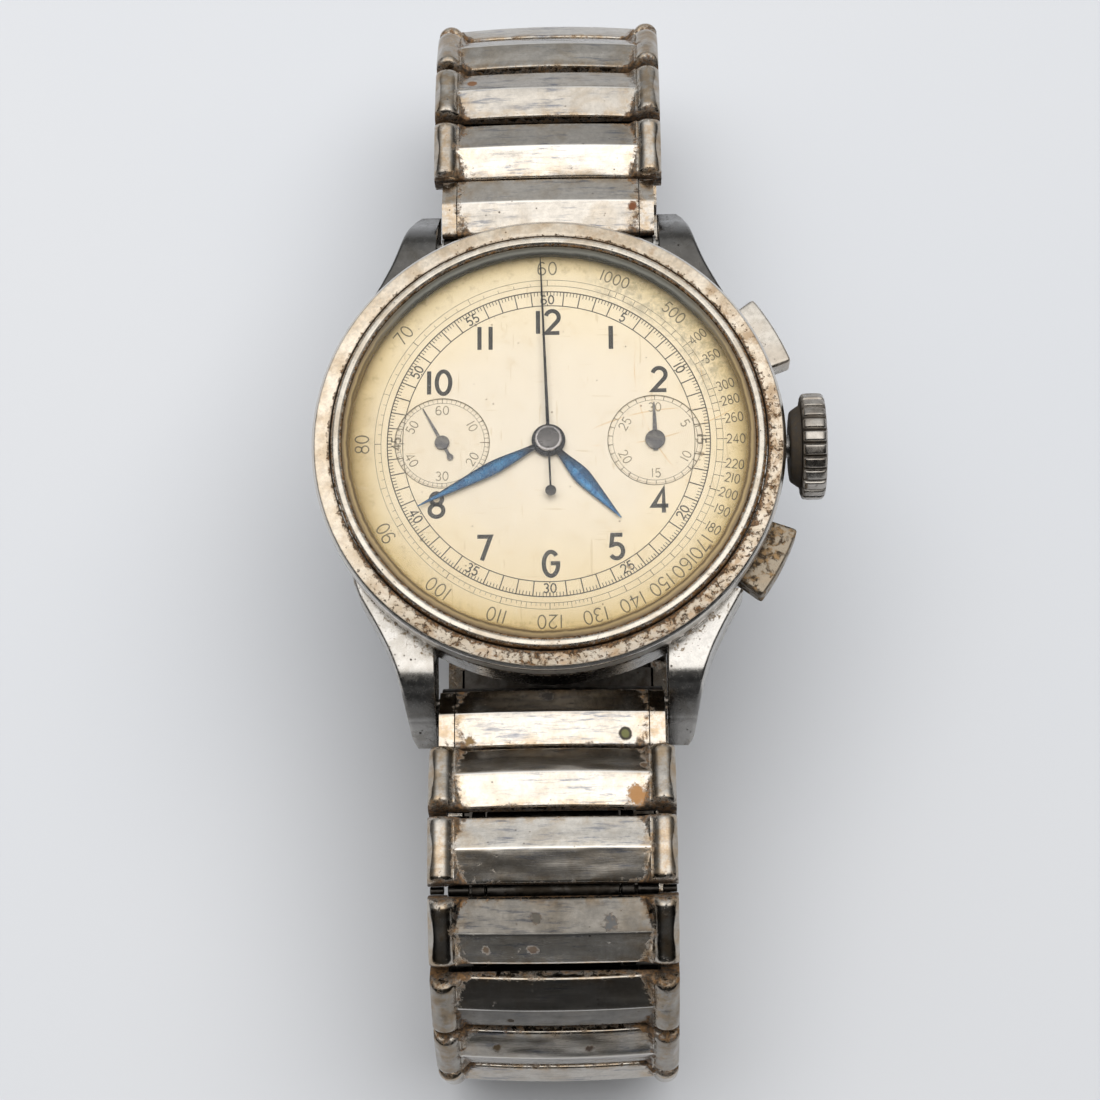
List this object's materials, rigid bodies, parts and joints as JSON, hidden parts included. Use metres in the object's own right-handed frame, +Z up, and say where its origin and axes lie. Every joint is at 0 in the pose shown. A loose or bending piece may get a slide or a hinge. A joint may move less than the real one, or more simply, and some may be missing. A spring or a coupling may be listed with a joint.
{
  "type": "wrist chronograph",
  "caption": "Wrist chronograph with a domed crystal, crown, two rectangular pushers and two small dials, on a closed expansion bracelet of roofed steel links.",
  "frame": {"origin": "centre of the case back's outer face, on the dial axis", "axes": "+Z up through the dial's face, +Y to 12 o'clock, +X to 3 o'clock and the crown; the bracelet loop rests below the case back"},
  "size_m": [0.0403, 0.0913, 0.0324],
  "materials": {
    "case_steel": "worn, softly polished, with tarnish",
    "bezel_steel": "worn matte with brown pitting and a polished outer rim",
    "ring_steel": "polished, scratched",
    "crystal": "clear acrylic, lightly scratched",
    "case_back_steel": "brushed",
    "polished_steel": "polished, worn",
    "plain_steel": "plain",
    "dial_cream": "silvered cream, matt, printed scales, aged",
    "blued_steel": "blued, polished",
    "dark_steel": "dark blued",
    "nickel_plate": "nickel plated",
    "gilt_brass": "gilt",
    "bracelet_steel": "polished with warm tarnish and stains in the recesses"
  },
  "bodies": {
    "head": {"mid_case": "case_steel", "bezel": "bezel_steel", "crystal_ring": "ring_steel", "crystal": "crystal", "case_back": "case_back_steel", "spring_bars": "plain_steel", "dial": "dial_cream", "main_plate": "nickel_plate", "train_bridge": "nickel_plate", "balance_cock": "nickel_plate", "chronograph_bridge": "nickel_plate", "bridge_screws": "blued_steel", "hairspring": "blued_steel"},
    "winding_stem": {"winding_stem": "plain_steel"},
    "crown": {"crown": "polished_steel"},
    "start_stop_pusher": {"start_stop_pusher": "polished_steel"},
    "reset_pusher": {"reset_pusher": "polished_steel"},
    "operating_lever": {"operating_lever": "plain_steel"},
    "reset_hammer": {"reset_hammer": "plain_steel"},
    "column_wheel": {"column_wheel": "plain_steel"},
    "ratchet_wheel": {"ratchet_wheel": "plain_steel"},
    "mainspring_barrel": {"mainspring_barrel": "gilt_brass"},
    "centre_wheel": {"centre_wheel": "gilt_brass"},
    "third_wheel": {"third_wheel": "gilt_brass"},
    "seconds_train": {"fourth_wheel": "gilt_brass", "running_seconds_hand": "dark_steel"},
    "escape_wheel": {"escape_wheel": "gilt_brass"},
    "pallet_fork": {"pallet_fork": "plain_steel"},
    "balance_wheel": {"balance_wheel": "gilt_brass"},
    "minute_hand": {"minute_hand": "blued_steel"},
    "hour_hand": {"hour_hand": "blued_steel", "hour_wheel": "gilt_brass"},
    "chronograph_seconds": {"chronograph_runner": "gilt_brass", "chronograph_hand": "dark_steel"},
    "minute_counter": {"minute_recorder": "gilt_brass", "minute_counter_hand": "dark_steel"},
    "end_link_6": {"end_link_6": "bracelet_steel"},
    "link_02": {"link_02": "bracelet_steel"},
    "link_03": {"link_03": "bracelet_steel"},
    "link_04": {"link_04": "bracelet_steel"},
    "link_05": {"link_05": "bracelet_steel"},
    "link_06": {"link_06": "bracelet_steel"},
    "link_07": {"link_07": "bracelet_steel"},
    "link_08": {"link_08": "bracelet_steel"},
    "link_09": {"link_09": "bracelet_steel"},
    "link_10": {"link_10": "bracelet_steel"},
    "links_11_12": {"links_11_12": "bracelet_steel"},
    "links_13_14": {"links_13_14": "bracelet_steel"},
    "links_15_16": {"links_15_16": "bracelet_steel"},
    "end_link_12": {"end_link_12": "bracelet_steel"},
    "link_29": {"link_29": "bracelet_steel"},
    "link_28": {"link_28": "bracelet_steel"},
    "link_27": {"link_27": "bracelet_steel"},
    "link_26": {"link_26": "bracelet_steel"},
    "link_25": {"link_25": "bracelet_steel"},
    "link_24": {"link_24": "bracelet_steel"},
    "link_23": {"link_23": "bracelet_steel"},
    "links_21_22": {"links_21_22": "bracelet_steel"},
    "links_19_20": {"links_19_20": "bracelet_steel"},
    "links_17_18": {"links_17_18": "bracelet_steel"}
  },
  "joints": [
    {"name": "stem_pull", "type": "slide", "parent": "head", "child": "winding_stem", "axis": [1, 0, 0], "range_m": [0, 0.0008]},
    {"name": "crown_turn", "type": "hinge", "parent": "winding_stem", "child": "crown", "pos_m": [0.02, 0, 0.0061], "axis": [1, 0, 0], "continuous": true},
    {"name": "ratchet_turn", "type": "hinge", "parent": "head", "child": "ratchet_wheel", "pos_m": [0.00361, -0.00516, 0.0032], "axis": [0, 0, 1], "continuous": true},
    {"name": "start_stop_press", "type": "slide", "parent": "head", "child": "start_stop_pusher", "axis": [-0.8788, -0.4772, 0], "range_m": [0, 0.0009], "stiffness_N_per_m": 2500, "springref_m": -0.0006},
    {"name": "reset_press", "type": "slide", "parent": "head", "child": "reset_pusher", "axis": [-0.8788, 0.4772, 0], "range_m": [0, 0.0009], "stiffness_N_per_m": 2500, "springref_m": -0.0006},
    {"name": "lever_rock", "type": "hinge", "parent": "head", "child": "operating_lever", "pos_m": [0.013, 0.0029, 0.0023], "axis": [0, 0, 1], "range_deg": [-1, 15]},
    {"name": "column_wheel_turn", "type": "hinge", "parent": "head", "child": "column_wheel", "pos_m": [0.0056, 0.0094, 0.0027], "axis": [0, 0, 1], "range_deg": [-31, 1]},
    {"name": "hammer_swing", "type": "hinge", "parent": "head", "child": "reset_hammer", "pos_m": [-0.0015, -0.0075, 0.0023], "axis": [0, 0, 1], "range_deg": [-1, 8]},
    {"name": "running_seconds", "type": "hinge", "parent": "head", "child": "seconds_train", "pos_m": [-0.00833, 0, 0.005], "axis": [0, 0, -1], "continuous": true},
    {"name": "third_wheel_turn", "type": "hinge", "parent": "head", "child": "third_wheel", "pos_m": [-0.00515, 0.00391, 0.005], "axis": [0, 0, -1], "continuous": true},
    {"name": "centre_wheel_turn", "type": "hinge", "parent": "head", "child": "centre_wheel", "pos_m": [0, 0, 0.005], "axis": [0, 0, -1], "continuous": true},
    {"name": "barrel_turn", "type": "hinge", "parent": "head", "child": "mainspring_barrel", "pos_m": [0.00361, -0.00516, 0.005], "axis": [0, 0, -1], "continuous": true},
    {"name": "escape_wheel_turn", "type": "hinge", "parent": "head", "child": "escape_wheel", "pos_m": [-0.00708, -0.00468, 0.005], "axis": [0, 0, -1], "continuous": true},
    {"name": "fork_rock", "type": "hinge", "parent": "head", "child": "pallet_fork", "pos_m": [-0.00662, -0.00708, 0.0046], "axis": [0, 0, 1], "range_deg": [-4, 4]},
    {"name": "balance_swing", "type": "hinge", "parent": "head", "child": "balance_wheel", "pos_m": [-0.0062, -0.0093, 0.005], "axis": [0, 0, 1], "range_deg": [-270, 270], "stiffness_Nm_per_rad": 0.0000002},
    {"name": "minute_hand_turn", "type": "hinge", "parent": "head", "child": "minute_hand", "pos_m": [0, 0, 0.0088], "axis": [0, 0, -1], "continuous": true},
    {"name": "hour_hand_turn", "type": "hinge", "parent": "head", "child": "hour_hand", "pos_m": [0, 0, 0.0086], "axis": [0, 0, -1], "continuous": true},
    {"name": "chronograph_run", "type": "hinge", "parent": "head", "child": "chronograph_seconds", "pos_m": [0, 0, 0.009], "axis": [0, 0, -1], "continuous": true},
    {"name": "minute_counter_run", "type": "hinge", "parent": "head", "child": "minute_counter", "pos_m": [0.00833, 0, 0.0084], "axis": [0, 0, -1], "continuous": true},
    {"name": "bracelet_flex", "type": "hinge", "parent": "head", "child": "end_link_6", "pos_m": [0, -0.01937, 0.00182], "axis": [1, 0, 0], "range_deg": [-5, 5]},
    {"name": "hinge_01_02", "type": "hinge", "parent": "end_link_6", "child": "link_02", "pos_m": [0, -0.02437, 0.00338], "axis": [1, 0, 0], "range_deg": [-0.91, 0.91]},
    {"name": "hinge_02_03", "type": "hinge", "parent": "link_02", "child": "link_03", "pos_m": [0, -0.02939, 0.00489], "axis": [1, 0, 0], "range_deg": [-1.07, 1.07]},
    {"name": "hinge_03_04", "type": "hinge", "parent": "link_03", "child": "link_04", "pos_m": [0, -0.03463, 0.00497], "axis": [1, 0, 0], "range_deg": [-0.97, 0.97]},
    {"name": "hinge_04_05", "type": "hinge", "parent": "link_04", "child": "link_05", "pos_m": [0, -0.03939, 0.00277], "axis": [1, 0, 0], "range_deg": [-3.37, 3.37]},
    {"name": "hinge_05_06", "type": "hinge", "parent": "link_05", "child": "link_06", "pos_m": [0, -0.04255, -0.00141], "axis": [1, 0, 0], "range_deg": [-1.77, 1.77]},
    {"name": "hinge_06_07", "type": "hinge", "parent": "link_06", "child": "link_07", "pos_m": [0, -0.04453, -0.00626], "axis": [1, 0, 0], "range_deg": [-3.49, 3.49]},
    {"name": "hinge_07_08", "type": "hinge", "parent": "link_07", "child": "link_08", "pos_m": [0, -0.04432, -0.01149], "axis": [1, 0, 0], "range_deg": [-3.31, 3.31]},
    {"name": "hinge_08_09", "type": "hinge", "parent": "link_08", "child": "link_09", "pos_m": [0, -0.0415, -0.01591], "axis": [1, 0, 0], "range_deg": [-1.88, 1.88]},
    {"name": "hinge_09_10", "type": "hinge", "parent": "link_09", "child": "link_10", "pos_m": [0, -0.03671, -0.01802], "axis": [1, 0, 0], "range_deg": [-1.16, 1.16]},
    {"name": "hinge_10_11", "type": "hinge", "parent": "link_10", "child": "links_11_12", "pos_m": [0, -0.03147, -0.01802], "axis": [1, 0, 0], "range_deg": [-1.06, 1.06]},
    {"name": "hinge_12_13", "type": "hinge", "parent": "links_11_12", "child": "links_13_14", "pos_m": [0, -0.02099, -0.01802], "axis": [1, 0, 0], "range_deg": [-1.06, 1.06]},
    {"name": "hinge_14_15", "type": "hinge", "parent": "links_13_14", "child": "links_15_16", "pos_m": [0, -0.01051, -0.01802], "axis": [1, 0, 0], "range_deg": [-1.06, 1.06]},
    {"name": "hinge_30_lug", "type": "hinge", "parent": "head", "child": "end_link_12", "pos_m": [0, 0.01937, 0.00182], "axis": [1, 0, 0], "range_deg": [-4.37, 4.37]},
    {"name": "hinge_29_30", "type": "hinge", "parent": "end_link_12", "child": "link_29", "pos_m": [0, 0.02459, 0.0014], "axis": [1, 0, 0], "range_deg": [-0.48, 0.48]},
    {"name": "hinge_28_29", "type": "hinge", "parent": "link_29", "child": "link_28", "pos_m": [0, 0.02983, 0.00116], "axis": [1, 0, 0], "range_deg": [-0.96, 0.96]},
    {"name": "hinge_27_28", "type": "hinge", "parent": "link_28", "child": "link_27", "pos_m": [0, 0.03484, -0.00038], "axis": [1, 0, 0], "range_deg": [-0.94, 0.94]},
    {"name": "hinge_26_27", "type": "hinge", "parent": "link_27", "child": "link_26", "pos_m": [0, 0.03912, -0.0034], "axis": [1, 0, 0], "range_deg": [-3.11, 3.11]},
    {"name": "hinge_25_26", "type": "hinge", "parent": "link_26", "child": "link_25", "pos_m": [0, 0.04139, -0.00812], "axis": [1, 0, 0], "range_deg": [-3.87, 3.87]},
    {"name": "hinge_24_25", "type": "hinge", "parent": "link_25", "child": "link_24", "pos_m": [0, 0.0404, -0.01326], "axis": [1, 0, 0], "range_deg": [-2.79, 2.79]},
    {"name": "hinge_23_24", "type": "hinge", "parent": "link_24", "child": "link_23", "pos_m": [0, 0.0365, -0.01676], "axis": [1, 0, 0], "range_deg": [-1.66, 1.66]},
    {"name": "hinge_22_23", "type": "hinge", "parent": "link_23", "child": "links_21_22", "pos_m": [0, 0.03141, -0.01802], "axis": [1, 0, 0], "range_deg": [-1.15, 1.15]},
    {"name": "hinge_20_21", "type": "hinge", "parent": "links_21_22", "child": "links_19_20", "pos_m": [0, 0.02093, -0.01802], "axis": [1, 0, 0], "range_deg": [-1.06, 1.06]},
    {"name": "hinge_18_19", "type": "hinge", "parent": "links_19_20", "child": "links_17_18", "pos_m": [0, 0.01045, -0.01802], "axis": [1, 0, 0], "range_deg": [-1.06, 1.06]}
  ],
  "couplings": [
    {"joint": "ratchet_turn", "follows": "crown_turn", "ratio": -0.33333},
    {"joint": "lever_rock", "follows": "start_stop_press", "rad_per_m": 273.64},
    {"joint": "column_wheel_turn", "follows": "start_stop_press", "rad_per_m": -581.78},
    {"joint": "hammer_swing", "follows": "reset_press", "rad_per_m": 136.86},
    {"joint": "third_wheel_turn", "follows": "running_seconds", "ratio": -0.125},
    {"joint": "centre_wheel_turn", "follows": "running_seconds", "ratio": 0.016667},
    {"joint": "barrel_turn", "follows": "running_seconds", "ratio": -0.0020833},
    {"joint": "escape_wheel_turn", "follows": "running_seconds", "ratio": -10},
    {"joint": "hour_hand_turn", "follows": "minute_hand_turn", "ratio": 0.083333},
    {"joint": "minute_counter_run", "follows": "chronograph_run", "ratio": 0.033333},
    {"joint": "hinge_01_02", "follows": "bracelet_flex", "ratio": 0.16758},
    {"joint": "hinge_02_03", "follows": "bracelet_flex", "ratio": 0.19824},
    {"joint": "hinge_03_04", "follows": "bracelet_flex", "ratio": 0.178},
    {"joint": "hinge_04_05", "follows": "bracelet_flex", "ratio": -0.64514},
    {"joint": "hinge_05_06", "follows": "bracelet_flex", "ratio": -0.33385},
    {"joint": "hinge_06_07", "follows": "bracelet_flex", "ratio": -0.66873},
    {"joint": "hinge_07_08", "follows": "bracelet_flex", "ratio": -0.63314},
    {"joint": "hinge_08_09", "follows": "bracelet_flex", "ratio": -0.3554},
    {"joint": "hinge_09_10", "follows": "bracelet_flex", "ratio": 0.21574},
    {"joint": "hinge_10_11", "follows": "bracelet_flex", "ratio": 0.19657},
    {"joint": "hinge_12_13", "follows": "bracelet_flex", "ratio": 0.19649},
    {"joint": "hinge_14_15", "follows": "bracelet_flex", "ratio": 0.19688},
    {"joint": "hinge_30_lug", "follows": "bracelet_flex", "ratio": -0.83982},
    {"joint": "hinge_29_30", "follows": "bracelet_flex", "ratio": -0.082782},
    {"joint": "hinge_28_29", "follows": "bracelet_flex", "ratio": -0.17681},
    {"joint": "hinge_27_28", "follows": "bracelet_flex", "ratio": 0.17312},
    {"joint": "hinge_26_27", "follows": "bracelet_flex", "ratio": 0.59418},
    {"joint": "hinge_25_26", "follows": "bracelet_flex", "ratio": 0.74124},
    {"joint": "hinge_24_25", "follows": "bracelet_flex", "ratio": 0.53256},
    {"joint": "hinge_23_24", "follows": "bracelet_flex", "ratio": 0.3127},
    {"joint": "hinge_22_23", "follows": "bracelet_flex", "ratio": -0.21356},
    {"joint": "hinge_20_21", "follows": "bracelet_flex", "ratio": -0.19624},
    {"joint": "hinge_18_19", "follows": "bracelet_flex", "ratio": -0.19676}
  ]
}
